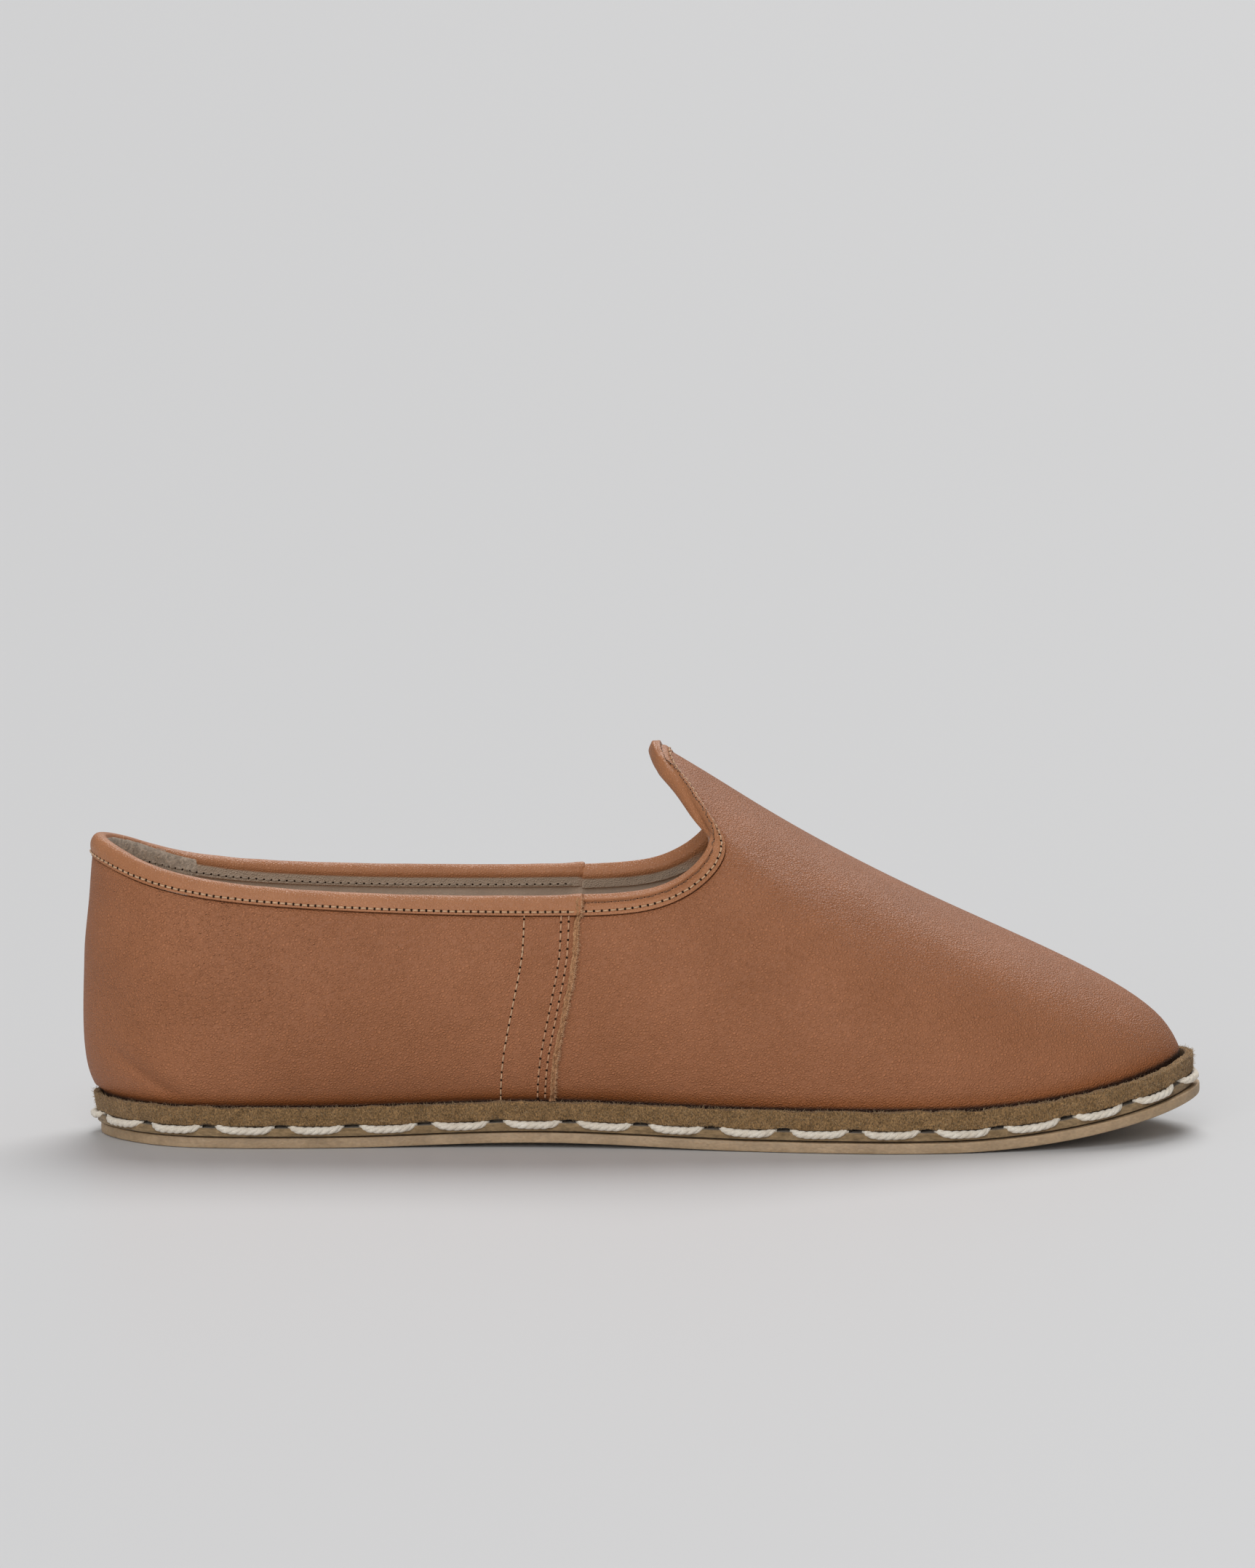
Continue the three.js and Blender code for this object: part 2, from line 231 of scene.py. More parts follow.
def threadPiece(name, paths, sides, materials):
    # Many short threads as one mesh: each path is a list of (point, radius in mm)
    curve = bpy.data.curves.new(name, "CURVE")
    curve.dimensions = "3D"
    curve.bevel_depth = mm
    curve.bevel_resolution = sides
    curve.use_fill_caps = True
    for path in paths:
        spline = curve.splines.new("POLY")
        spline.points.add(len(path) - 1)
        for spot, (point, radius) in zip(spline.points, path):
            spot.co = (*point, 1)
            spot.radius = radius
    holder = bpy.data.objects.new(name + "Curve", curve)
    bpy.context.scene.collection.objects.link(holder)
    data = bpy.data.meshes.new_from_object(holder.evaluated_get(bpy.context.evaluated_depsgraph_get()))
    bpy.data.objects.remove(holder)
    data.name = name
    data.materials.clear()
    return placePiece(name, data, materials)


def placePiece(name, data, materials, replaced=None):
    piece = bpy.data.objects.new(name, data)
    bpy.context.scene.collection.objects.link(piece)
    for material in materials:
        data.materials.append(material)
    for polygon in data.polygons:
        polygon.use_smooth = True
    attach(piece, "root")
    if replaced:
        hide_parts(replaced)
    return piece


# How solids are finished: angles in degrees, and how firmly a sharp edge holds when its surface is rounded
finish = {"sharp": 50, "allSoft": 170, "hold": 0.8}


def refined(bm, levels, sharpAngle):
    # The same form with a fine surface: edges sharper than the angle keep their crease
    crease = bm.edges.layers.float.get("crease_edge") or bm.edges.layers.float.new("crease_edge")
    for e in bm.edges:
        if len(e.link_faces) == 2 and e.calc_face_angle(0) > math.radians(sharpAngle):
            e[crease] = finish["hold"]
    data = bpy.data.meshes.new("coarse")
    bm.to_mesh(data)
    holder = bpy.data.objects.new("coarse", data)
    bpy.context.scene.collection.objects.link(holder)
    rounder = holder.modifiers.new("round", "SUBSURF")
    rounder.levels = rounder.render_levels = levels
    fine = bpy.data.meshes.new_from_object(holder.evaluated_get(bpy.context.evaluated_depsgraph_get()))
    bpy.data.objects.remove(holder)
    bpy.data.meshes.remove(data)
    bm.free()
    result = bmesh.new()
    result.from_mesh(fine)
    bpy.data.meshes.remove(fine)
    return result


def roundedEdges(node, width):
    # A copy of a solid with its sharp edges rounded by a width in mm
    bm = quadCopy(node)
    sharp = [e for e in bm.edges if e.calc_face_angle(0) > math.radians(finish["sharp"])]
    bmesh.ops.bevel(bm, geom=sharp, offset=width * mm, offset_type="OFFSET", segments=2, profile=0.5,
                    affect="EDGES", material=-1)
    return bm


def fromHeel(x, y, z):
    return Vector((heelX + x * mm, y * mm, z * mm))


def mapLoop(corner, edge):
    # Corners straight ahead on a grid of four-sided faces, to its end or round to the start
    chain = [corner]
    while True:
        corner = edge.other_vert(corner)
        chain.append(corner)
        ahead = [e for e in corner.link_edges if not set(e.link_faces) & set(edge.link_faces)]
        if corner is chain[0] or len(ahead) != 1:
            return chain
        edge = ahead[0]


def heading(corner, edge):
    # The direction in which an edge leaves a corner
    return (edge.other_vert(corner).co - corner.co).normalized()


def cornerLine(bm, near, reach, direction, along):
    # The grid line through the corner that lies farthest in a direction, among those near a point
    choices = [v for v in bm.verts if (v.co - near).length < reach * mm]
    corner = max(choices, key=lambda v: v.co.dot(direction))
    ways = sorted(corner.link_edges, key=lambda e: -abs(heading(corner, e).dot(along)))
    first = mapLoop(corner, ways[0])
    if first[-1] is corner:
        return [v.co.copy() for v in first]
    back = mapLoop(corner, ways[1])
    return [v.co.copy() for v in reversed(first)] + [v.co.copy() for v in back[1:]]


def resampled(line, step):
    # Points an even step, in mm, apart along a line
    lengths = [0.0]
    for a, b in zip(line, line[1:]):
        lengths.append(lengths[-1] + (b - a).length)
    count = max(2, round(lengths[-1] / (step * mm)))
    points = []
    k = 0
    for i in range(count + 1):
        run = lengths[-1] * i / count
        while k < len(line) - 2 and lengths[k + 1] < run:
            k += 1
        span = max(1e-9, lengths[k + 1] - lengths[k])
        points.append(line[k].lerp(line[k + 1], min(1, (run - lengths[k]) / span)))
    return points


def smoothed(line, rounds):
    closed = (line[0] - line[-1]).length < 0.01 * mm
    for _ in range(rounds):
        inner = [(a + 2 * b + c) / 4 for a, b, c in zip(line, line[1:], line[2:])]
        ends = [(line[-2] + 2 * line[0] + line[1]) / 4] * 2 if closed else [line[0], line[-1]]
        line = [ends[0], *inner, ends[1]]
    return line


# A line moved over a skin starts off it, so that it lands on the wanted face; in mm
skinWalk = {"firstStep": 0.7, "standOff": 0.8, "step": 0.5, "openingAt": (100, 0, 74)}


def alongSkin(line, skin, shift, towards, side=1):
    # A line moved over a skin by a distance, towards a side of it: pairs of point and surface normal
    moved = []
    for i, point in enumerate(line):
        tangent = (line[min(i + 1, len(line) - 1)] - line[max(i - 1, 0)]).normalized()
        aim = fromHeel(*skinWalk["openingAt"]) - point if towards == "opening" else Vector(towards)
        way = (aim - tangent * tangent.dot(aim)).normalized()
        off = way.cross(tangent)
        off = off if outsideShare(point, off) * side > 0 else -off
        first = min(shift, skinWalk["firstStep"])
        spot, normal, _, _ = skin.find_nearest(point + (way * first + off * skinWalk["standOff"]) * mm)
        left = shift - first
        while left > 1e-6:
            step = min(skinWalk["step"], left)
            way = (way - normal * way.dot(normal)).normalized()
            spot, normal, _, _ = skin.find_nearest(spot + way * step * mm)
            left -= step
        moved.append((spot, normal))
    return moved


footMiddle = {"from": 50, "to": 225, "height": 28}  # a line along the middle of the foot, in mm from the heel


def outsideShare(point, normal):
    # Above 0 where a wall's face looks out of the shoe
    along = min(max(point.x, heelX + footMiddle["from"] * mm), heelX + footMiddle["to"] * mm)
    middle = Vector((along, 0, footMiddle["height"] * mm))
    return (point - middle).normalized().dot(normal)


# Camera at the photograph's angle, from the inner side of the foot
camera = {"lens": 164.3, "sensor": 36, "distance": 1.8, "height": 0.292, "tilt": 6.48, "roll": -0.15,
          "aside": -0.0034, "farthest": 400}


def placeCamera():
    lens = bpy.data.cameras.new("camera")
    lens.lens = camera["lens"]
    lens.sensor_width = camera["sensor"]
    lens.clip_end = camera["farthest"]
    eye = bpy.data.objects.new("camera", lens)
    bpy.context.scene.collection.objects.link(eye)
    eye.matrix_world = (Matrix.Translation((camera["aside"], -camera["distance"], camera["height"]))
                        @ Matrix.Rotation(math.radians(90 - camera["tilt"]), 4, "X")
                        @ Matrix.Rotation(math.radians(camera["roll"]), 4, "Z"))
    bpy.context.scene.camera = eye


# Pale floor under a soft studio sky
studio = {
    "floorSize": 300.0, "floorColour": (0.60, 0.60, 0.605), "gloss": 0.45, "floorShine": 0.2, "sky": 0.26,
    "suns": (  # strength, width and turn: from above and behind, from above the camera, and low from its side
        ("topLight", 2.2, 40, (-36, 10, 0)),
        ("frontTop", 0.65, 30, (40, 0, -6)),
        ("lowFill", 1.2, 36, (75, 0, -16)),
    ),
}


def buildStudio():
    bm = bmesh.new()
    bmesh.ops.create_grid(bm, x_segments=1, y_segments=1, size=studio["floorSize"] / 2)
    data = bpy.data.meshes.new("floor")
    bm.to_mesh(data)
    bm.free()
    floor = bpy.data.objects.new("floor", data)
    bpy.context.scene.collection.objects.link(floor)
    paper = bpy.data.materials.new("floorPaper")
    paper.use_nodes = True
    shader = paper.node_tree.nodes["Principled BSDF"]
    shader.inputs["Base Color"].default_value = (*studio["floorColour"], 1)
    shader.inputs["Roughness"].default_value = studio["gloss"]
    shader.inputs["Specular IOR Level"].default_value = studio["floorShine"]
    data.materials.append(paper)
    scene = bpy.context.scene
    scene.view_settings.view_transform = "Standard"
    scene.world = bpy.data.worlds.new("sky")
    scene.world.use_nodes = True
    sky = scene.world.node_tree.nodes["Background"]
    sky.inputs["Color"].default_value = (1, 1, 1, 1)
    sky.inputs["Strength"].default_value = studio["sky"]
    for name, strength, width, turn in studio["suns"]:
        light = bpy.data.lights.new(name, "SUN")
        light.energy = strength
        light.angle = math.radians(width)
        lamp = bpy.data.objects.new(name, light)
        lamp.rotation_euler = tuple(math.radians(a) for a in turn)
        scene.collection.objects.link(lamp)


# Upper: quarter and vamp in drum-dyed leather, smooth lining, a suede counter patch inside the heel
skins = {}  # finished surfaces that threads and fibres are set on
lines = {}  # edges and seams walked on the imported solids
upper = {
    "patchEnd": 28,  # mm from the heel to the end of the suede patch
    "wrinkles": {"middle": 34, "reach": 46, "above": 18, "rise": 20, "power": 0.7},
    "footPaintedShadow": (1.1, 0.9),  # mm over the welt's top where the painted shadow in the gap under the upper ends, and its fade
    "footPaintedBounce": (4.5, 3.5),  # and the same for the painted bounced light from the welt, a deeper tan over it
    "creases": (  # side, route as mm from the heel and height, width, depth (below 0 for a trough)
        ("inner", ((9, 23), (15, 19), (24, 13.5)), 1.6, -0.55),
        ("inner", ((14, 19.5), (18, 16.5), (22, 14.2)), 1.2, -0.35),
        ("inner", ((12, 26), (20, 21), (30, 16)), 3.0, 0.35),
        ("inner", ((6, 60), (22, 50), (40, 47)), 5.0, -0.25),
        ("inner", ((4, 48), (20, 42), (44, 41)), 5.0, 0.22),
        ("inner", ((10, 34), (34, 31), (62, 36)), 6.0, -0.22),
        ("inner", ((60, 52), (84, 45), (104, 44)), 5.0, 0.20),
        ("inner", ((66, 30), (90, 27), (112, 30)), 6.0, -0.20),
        ("inner", ((132, 44), (142, 34), (150, 20)), 6.0, -0.25),
        ("outer", ((10, 24), (18, 19), (28, 14)), 1.8, -0.5),
        ("outer", ((8, 52), (26, 45), (48, 44)), 5.0, -0.25),
        ("outer", ((12, 36), (38, 32), (66, 37)), 6.0, 0.25),
        ("outer", ((64, 48), (86, 42), (106, 43)), 5.0, -0.2),
        ("outer", ((130, 50), (140, 40), (150, 24)), 5.0, -0.45),
        ("outer", ((138, 56), (148, 44), (160, 28)), 5.0, 0.40),
    ),
}


def creaseLift(point, outer):
    side = "outer" if point.y > 0 else "inner"
    spot = Vector(((point.x - heelX) / mm, point.z / mm))
    lift = 0.0
    for creaseSide, route, width, depth in upper["creases"]:
        if creaseSide != side or not outer:
            continue
        nearest = 1e9
        for a, b in zip(route, route[1:]):
            start, along = Vector(a), Vector(b) - Vector(a)
            share = min(1, max(0, (spot - start).dot(along) / along.length_squared))
            nearest = min(nearest, (spot - start - share * along).length)
        lift += depth * math.exp(-(nearest / width) ** 2)
    return lift * mm


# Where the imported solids' edges are looked for: a point, reaches in mm, and the way to each edge's corner
edgeHints = {
    "heelTop": (2, -6, 70), "collarReach": 14, "collarOut": (-1, 0, -1), "collarIn": (1, 0, -1),
    "throatReach": 12, "throatOut": (1.34, 0, 0.44), "throatIn": (0.44, 0, -1.34),
    "lapStep": 1.6,  # along the rim, only the steps at the lapped seams are this short
    "throatAbove": 75, "seamFoot": 9,
    "weltReach": 9, "weltFoot": ((3, -5, 6), (-0.5, 0, -1)), "weltTop": ((3, -5, 10), (-1, 0, 0.5)),
}


def walkLines():
    across = Vector((0, 1, 0))
    collar = quadCopy("collar_band")
    heelTop = fromHeel(*edgeHints["heelTop"])
    for key in ("collarOut", "collarIn"):
        lines[key] = cornerLine(collar, heelTop, edgeHints["collarReach"], Vector(edgeHints[key]), across)
    collar.free()
    throat = quadCopy("throat_binding")
    tip = max(throat.verts, key=lambda v: v.co.z).co
    for key in ("throatOut", "throatIn"):
        lines[key] = cornerLine(throat, tip, edgeHints["throatReach"], Vector(edgeHints[key]), across)
    throat.free()
    shell = quadCopy("upper")
    peak = max(shell.verts, key=lambda v: v.co.z)
    rim = mapLoop(peak, max(peak.link_edges, key=lambda e: abs(heading(peak, e).dot(across))))
    for a, b in zip(rim, rim[1:]):
        if (a.co - b.co).length > edgeHints["lapStep"] * mm or a.co.z > edgeHints["throatAbove"] * mm:
            continue
        quarterSide = min((a, b), key=lambda v: v.co.x)
        down = min(quarterSide.link_edges, key=lambda e: heading(quarterSide, e).z)
        chain = [v.co.copy() for v in mapLoop(quarterSide, down)]
        foot = next(i for i, p in enumerate(chain) if p.z < edgeHints["seamFoot"] * mm)
        lines["seamOuter" if quarterSide.co.y > 0 else "seamInner"] = chain[:foot + 1]
    shell.free()
    for name, line in lines.items():
        print("line", name, len(line), [[round(c / mm, 1) for c in end] for end in (line[0], line[-1])])


leatherLook = {
    "cloudSize": 26, "cloudEnds": (0.25, 0.75), "dark": (0.335, 0.126, 0.051), "light": (0.415, 0.164, 0.074),
    "roughness": (0.46, 0.58),
    "grain": (
        {"kind": "soft", "size": 9, "depth": 0.35, "detail": 2.0},
        {"kind": "cells", "size": 0.7, "depth": 0.16, "stretch": (1.2, 1, 0.85), "turn": (0, 35, 0),
         "crease": 0.36, "drift": 0.5, "stain": 0.15},
        {"kind": "soft", "size": 0.5, "depth": 0.16, "detail": 3.0, "stain": 0.08},
        {"kind": "soft", "size": 0.8, "depth": 0.4, "stretch": (3, 3, 1), "turn": (0, 15, 0), "bend": 1.0,
         "detail": 2.0, "region": "wrinkle"},
    ),
    "tintsAndPaintedLight": (
        # painted bounced light: a deeper tan over the welt's top
        {"region": "paintedBounce", "share": 0.75, "colour": (0.29, 0.088, 0.020)},
        # painted shadow: near black in the gap where the upper meets the welt's top
        {"region": "foot", "share": 0.95, "colour": (0.015, 0.006, 0.003)},
    ),
    "shader": {"Specular IOR Level": 0.26, "Coat Weight": 0.04, "Coat Roughness": 0.4},
}
liningLook = {
    "cloudSize": 18, "dark": (0.53, 0.41, 0.315), "light": (0.68, 0.54, 0.43), "roughness": (0.5, 0.65),
    "grain": (
        {"kind": "soft", "size": 3, "depth": 0.35, "stretch": (4, 2, 1), "turn": (0, 10, 0)},
        {"kind": "cells", "size": 0.8, "depth": 0.04, "crease": 0.4, "stain": 0.06},
    ),
    "shader": {"Sheen Weight": 0.1},
}
patchLook = {
    "cloudSize": 5, "dark": (0.54, 0.42, 0.32), "light": (0.82, 0.68, 0.55), "roughness": (0.9, 0.95),
    "grain": (
        {"kind": "soft", "size": 0.9, "depth": 0.6, "detail": 5.0, "rough": 0.7, "stain": 0.5},
    ),
    "shader": {"Sheen Weight": 0.3, "Specular IOR Level": 0.2},
}


def weltTopAt(point):
    return weltTop.find(point)[0].z


def buildUpper(materials):
    bm = refined(quadCopy("upper"), 2, 30)
    wrinkle = bm.verts.layers.float.new("wrinkle")
    foot = bm.verts.layers.float.new("foot")
    paintedBounce = bm.verts.layers.float.new("paintedBounce")
    wrinkles = upper["wrinkles"]
    shadowTop, shadowFade = upper["footPaintedShadow"]
    bounceTop, bounceFade = upper["footPaintedBounce"]
    lifts = []
    for v in bm.verts:
        outer = outsideShare(v.co, v.normal) > 0
        lifts.append(v.normal * creaseLift(v.co, outer))
        x, z = (v.co.x - heelX) / mm, v.co.z / mm
        near = max(0, 1 - abs(x - wrinkles["middle"]) / wrinkles["reach"])
        v[wrinkle] = (near * clamp((z - wrinkles["above"]) / wrinkles["rise"])) ** wrinkles["power"]
        low = z - weltTopAt(v.co) / mm
        # painted shadow: near black just over the welt's top
        v[foot] = clamp((shadowTop - low) / shadowFade)
        # painted bounced light from the welt, a deeper tan above the painted shadow
        v[paintedBounce] = clamp((bounceTop - low) / bounceFade)
    for v, lift in zip(bm.verts, lifts):
        v.co += lift
    for f in bm.faces:
        centre = f.calc_center_median()
        if outsideShare(centre, f.normal) < 0:
            f.material_index = 2 if centre.x < heelX + upper["patchEnd"] * mm else 1
    bm.normal_update()
    skins["upper"] = BVHTree.FromBMesh(bm)
    return meshPiece("upperShell", bm, materials, "upper")


# Trims: the collar band behind the seams and the rolled binding round the throat
trim = {
    # Rounded lifts and, below 0, grooves: how much, at which height over the lower edge, and how wide, in mm
    "dip": (-0.25, 0.0, 0.8), "roll": (0.4, 2.8, 1.6), "groove": (-0.45, 3.1, 0.45),
    "pillow": (0.22, 1.7, 0.9), "uneven": 0.10, "unevenSize": 6,
    # The lining strip on the inner leg, over its lower edge; on the binding it fades out towards the tongue
    "liningHeight": 3.6, "liningFade": 0.5, "liningTop": 68, "liningRun": 6, "patchOver": 1.2,
    # The band's ends run over the binding at the seams: x in the frame, then how far out and along
    "endFrom": -19.0, "endTo": -16.5, "endReach": 1.5, "endLift": 0.35,
}
trimLook = {
    "cloudSize": 14, "cloudEnds": (0.25, 0.75), "dark": (0.385, 0.155, 0.066), "light": (0.475, 0.205, 0.094),
    "roughness": (0.40, 0.50),
    "grain": (
        {"kind": "soft", "size": 4, "depth": 0.35},
        {"kind": "cells", "size": 0.65, "depth": 0.10, "crease": 0.4, "drift": 0.5, "stain": 0.11},
        {"kind": "soft", "size": 0.4, "depth": 0.05, "detail": 2.0},
    ),
    "tintsAndPaintedLight": ({"region": "lining", "share": 1.0, "colour": (0.56, 0.44, 0.34)},),
    "shader": {"Coat Weight": 0.05, "Coat Roughness": 0.35, "Specular IOR Level": 0.26},
}


def softNoise(point, size):
    return mathNoise.noise(point / (size * mm))


def nearLine(line):
    tree = KDTree(len(line))
    for i, point in enumerate(line):
        tree.insert(point, i)
    tree.balance()
    return tree


def swell(height, shape):
    # A rounded lift, or a groove where its depth is below 0
    depth, middle, width = shape
    return depth * math.exp(-((height - middle) / width) ** 2)


def buildTrim(name, node, outerKey, innerKey, materials):
    bm = refined(quadCopy(node), 3, finish["sharp"])
    outerTree = nearLine(resampled(lines[outerKey], 0.5))
    innerTree = nearLine(resampled(lines[innerKey], 0.5))
    for v in bm.verts:
        ending = 0.0
        if node == "collar_band":
            ending = clamp((v.co.x / mm - trim["endFrom"]) / (trim["endTo"] - trim["endFrom"]))
        if outsideShare(v.co, v.normal) < 0:
            v.co.x += trim["endReach"] * ending * mm
            continue
        height = outerTree.find(v.co)[2] / mm
        lift = swell(height, trim["dip"])
        if node == "throat_binding":
            lift += swell(height, trim["groove"])
            lift += swell(height, trim["pillow"])
        else:
            lift += swell(height, trim["roll"]) + trim["endLift"] * ending
        lift += trim["uneven"] * softNoise(v.co, trim["unevenSize"])
        v.co += v.normal * lift * mm
        v.co.x += trim["endReach"] * ending * mm
    bm.normal_update()
    lining = bm.verts.layers.float.new("lining")
    for v in bm.verts:
        height = innerTree.find(v.co)[2] / mm
        if outsideShare(v.co, v.normal) < -0.15 and v.normal.z > -0.75:
            share = clamp((trim["liningHeight"] - height) / trim["liningFade"])
            if node == "throat_binding":
                share *= clamp((trim["liningTop"] - v.co.z / mm) / trim["liningRun"])
            v[lining] = share
    for f in bm.faces:
        centre = f.calc_center_median()
        if centre.x < heelX + upper["patchEnd"] * mm and outsideShare(centre, f.normal) < -0.2:
            onPatch = innerTree.find(centre)[2] < (trim["liningHeight"] + trim["patchOver"]) * mm
            f.material_index = 1 if onPatch else 0
    skins[node] = BVHTree.FromBMesh(bm)
    return meshPiece(name, bm, materials, node)


# Welt: a strip of raw suede on edge, wavy along its top
welt = {
    "round": 0.5, "nap": 0.16, "napSizes": ((0.9, 1.0), (0.35, 0.6)),  # size in mm and share of each noise
    "topWave": 0.3, "waveFrom": 3.4, "waveSizes": ((9, 1.0), (2.4, 0.7), (0.8, 0.5)),
    "looseTo": 2.4, "hang": 0.12,  # up to this height the lower edge moves, and hangs over the thread
    "slitFrom": 0.62, "slitFade": 0.30,  # shares of half a stitch's pitch
}
weltLook = {
    "cloudSize": 3.0, "dark": (0.31, 0.178, 0.072), "light": (0.46, 0.275, 0.122), "roughness": (0.95, 1.0),
    "grain": (
        {"kind": "soft", "size": 0.6, "depth": 0.5, "detail": 3.0, "rough": 0.7, "bend": 1.2, "stain": 0.45},
        {"kind": "soft", "size": 0.32, "depth": 0.3, "detail": 2.0, "stretch": (1, 1, 1.6), "stain": 0.6},
    ),
    # painted shadow under the welt's lower edge, near black
    "tintsAndPaintedLight": ({"region": "under", "share": 0.95, "colour": (0.012, 0.007, 0.003)},),
    "shader": {"Sheen Weight": 0.12, "Specular IOR Level": 0.12},
}


def layeredNoise(point, sizes):
    return sum(share * softNoise(point, size) for size, share in sizes)


def walkWelt():
    # The strip's outer foot, where it meets the midsole and the thread runs, and its top
    bm = quadCopy("welt")
    for key in ("weltFoot", "weltTop"):
        near, direction = edgeHints[key]
        line = cornerLine(bm, fromHeel(*near), edgeHints["weltReach"], Vector(direction), Vector((0, 1, 0)))
        if line[3].y > line[0].y:  # both run from the heel over the inner side
            line.reverse()
        lines[key] = line
        print(key, len(line), "heights in mm", [round(p.z / mm, 1) for p in line][::6])
    bm.free()


# Hand stitches round the welt, in mm; each is an arch of yarn whose ends are sunk between welt and midsole
handStitch = {
    "pitch": 18.1, "oneAt": 114.5, "length": 14.2, "lengthSpread": (0.95, 1.03), "lean": (-0.25, 0.15),
    "radius": 1.0, "strands": 3, "turnLength": 6.0, "slim": (0.72, 0.28),
    "bulge": 0.6, "sunk": 1.3, "drop": 0.85, "endRise": 0.1, "slit": 0.55, "steps": 22,
}
railStep = 0.5


def handStitchPlaces():
    # Even places round the foot of the welt, one of them in the middle of the inner side's waist
    rail = resampled(lines["weltFoot"], railStep)
    count = round(len(rail) * railStep / handStitch["pitch"])
    middle = heelX + handStitch["oneAt"] * mm
    first = min(range(len(rail)), key=lambda i: abs(rail[i].x - middle) + (rail[i].y > 0))
    return rail, [(first + len(rail) * k / count) % len(rail) for k in range(count)]


def buildWelt(materials):
    bm = refined(roundedEdges("welt", welt["round"]), 3, finish["allSoft"])
    rail, places = handStitchPlaces()
    railTree = nearLine(rail)
    halfWay = handStitch["pitch"] / 2
    apart = []
    for i in range(len(rail)):
        steps = min(abs((i - place + len(rail) / 2) % len(rail) - len(rail) / 2) for place in places)
        beyond = steps * railStep - welt["slitFrom"] * halfWay
        apart.append(clamp(beyond / (welt["slitFade"] * halfWay)))
    under = bm.verts.layers.float.new("under")
    bm.normal_update()
    for v in bm.verts:
        spot, i, _ = railTree.find(v.co)
        height = (v.co.z - spot.z) / mm
        v[under] = clamp(-v.normal.z * 1.6 - 0.3) if height < 0.6 else 0  # painted shadow on its underside, where it stands off
        v.co += v.normal * layeredNoise(v.co, welt["napSizes"]) * welt["nap"] * mm
        if height < welt["looseTo"]:  # the lower edge stands off between the threads
            slit = handStitch["slit"] * apart[i] - welt["hang"]
            v.co.z += (1 - height / welt["looseTo"]) * slit * mm
        if height > welt["waveFrom"]:
            wave = layeredNoise(v.co, welt["waveSizes"])
            v.co.z += welt["topWave"] * (height - welt["waveFrom"]) * wave * mm
    skins["welt"] = BVHTree.FromBMesh(bm)
    return meshPiece("weltStrip", bm, materials, "welt")


# Sole: a leather midsole on a thin tan rubber outsole
sole = {"midsoleRound": 0.35, "outsoleRound": 0.45, "insoleRound": 0.4}
midsoleLook = {
    "cloudSize": 3.0, "dark": (0.24, 0.155, 0.075), "light": (0.38, 0.26, 0.14), "roughness": (0.85, 0.95),
    "cloudStretch": (3, 3, 1),
    "grain": (
        {"kind": "soft", "size": 0.6, "depth": 0.3, "detail": 5.0, "rough": 0.7, "stretch": (3, 3, 1),
         "stain": 0.5},
    ),
    "shader": {"Specular IOR Level": 0.2, "Sheen Weight": 0.2},
}
rubberLook = {
    "cloudSize": 12, "dark": (0.36, 0.245, 0.14), "light": (0.47, 0.33, 0.20), "roughness": (0.5, 0.62),
    "grain": (
        {"kind": "soft", "size": 2.5, "depth": 0.25, "detail": 3.0, "stain": 0.10},
        {"kind": "soft", "size": 0.5, "depth": 0.12, "detail": 3.0, "stretch": (2, 2, 1), "stain": 0.16},
        {"kind": "soft", "size": 0.8, "depth": 1.2, "detail": 0.0, "stretch": (1, 60, 60), "region": "tread"},
    ),
    "shader": {"Subsurface Weight": 0.25, "Subsurface Radius": (0.6, 0.4, 0.25), "Subsurface Scale": 0.003},
}


def buildPlate(node, materials):
    # One layer of the sole; the ribs of the tread show only where a face looks down
    bm = refined(roundedEdges(node, sole[node + "Round"]), 2, finish["allSoft"])
    tread = bm.verts.layers.float.new("tread")
    bm.normal_update()
    for v in bm.verts:
        v[tread] = 1.0 if v.normal.z < -0.7 else 0.0
    skins[node] = BVHTree.FromBMesh(bm)
    return meshPiece(node + "Layer", bm, materials, node)


insoleLook = {
    "cloudSize": 16, "dark": (0.165, 0.118, 0.062), "light": (0.235, 0.175, 0.10), "roughness": (0.7, 0.85),
    "grain": (
        {"kind": "soft", "size": 5, "depth": 0.3, "detail": 3.0},
        {"kind": "cells", "size": 0.9, "depth": 0.05, "stain": 0.1},
    ),
    "shader": {"Specular IOR Level": 0.3},
}


# Machine seams: each row follows a line at a shift in mm over a piece's skin, with a thread and needle holes
def sideRow(line, shift, pitch, radius, hole, thread):
    return {"skin": "upper", "line": line, "shift": shift, "towards": (-1, 0, 0), "pitch": pitch,
            "radius": radius, "hole": hole, "thread": thread, "trimEnds": True}


seams = [
    {"skin": "collar_band", "line": "collarOut", "shift": 0.8, "towards": (0, 0, 1), "pitch": 1.85,
     "radius": 0.22, "hole": 0.40, "thread": "pale"},
    {"skin": "throat_binding", "line": "throatOut", "shift": 0.6, "towards": "opening", "pitch": 1.95,
     "radius": 0.21, "hole": 0.36, "thread": "pale"},
    {"skin": "throat_binding", "line": "throatOut", "shift": 3.0, "towards": "opening", "pitch": 1.7,
     "radius": 0.15, "hole": 0.20, "thread": "brown"},
]
for seamLine in ("seamInner", "seamOuter"):
    seams += [
        sideRow(seamLine, 1.3, 2.25, 0.21, 0.33, "orange"),
        sideRow(seamLine, 3.2, 2.35, 0.21, 0.33, "orange"),
        sideRow(seamLine, 12.4, 2.2, 0.20, 0.31, "pale"),
    ]
